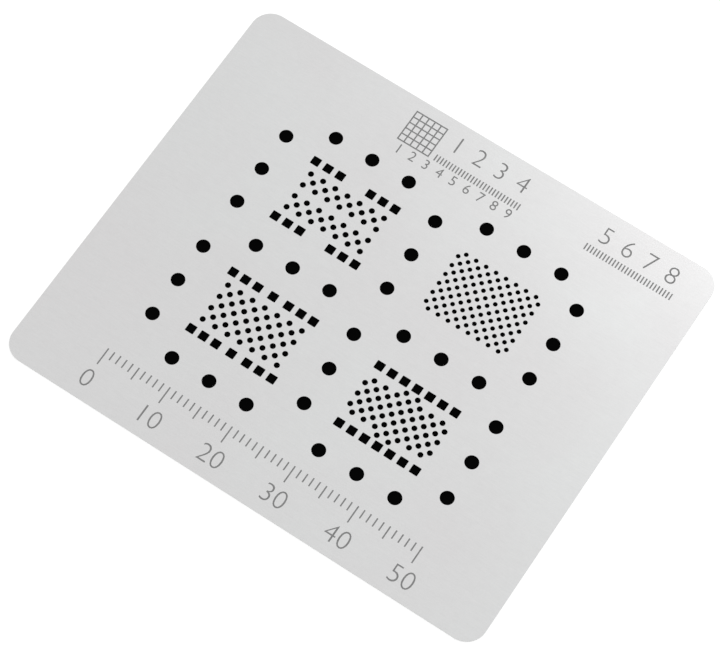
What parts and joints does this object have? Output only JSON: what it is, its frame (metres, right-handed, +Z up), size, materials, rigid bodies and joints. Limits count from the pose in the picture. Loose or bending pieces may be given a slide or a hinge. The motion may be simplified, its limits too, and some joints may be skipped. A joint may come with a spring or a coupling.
{
  "type": "solder paste stencil",
  "caption": "Flat laser-cut steel sheet with staggered round apertures, square land apertures and round vent holes, for laying solder paste on memory packages.",
  "frame": {"origin": "centre of the underside, the face that lies on the package", "axes": "+X along the sheet's long side, in the direction of the rows of square lands; +Y towards the edge above the two fields that have the 52 and the 110 apertures; +Z up out of the top face"},
  "size_m": [0.075, 0.063, 0.0003],
  "materials": {
    "sheet_steel": "satin, fine rolled grain"
  },
  "bodies": {
    "root": {"stencil_sheet": "sheet_steel"}
  },
  "joints": []
}
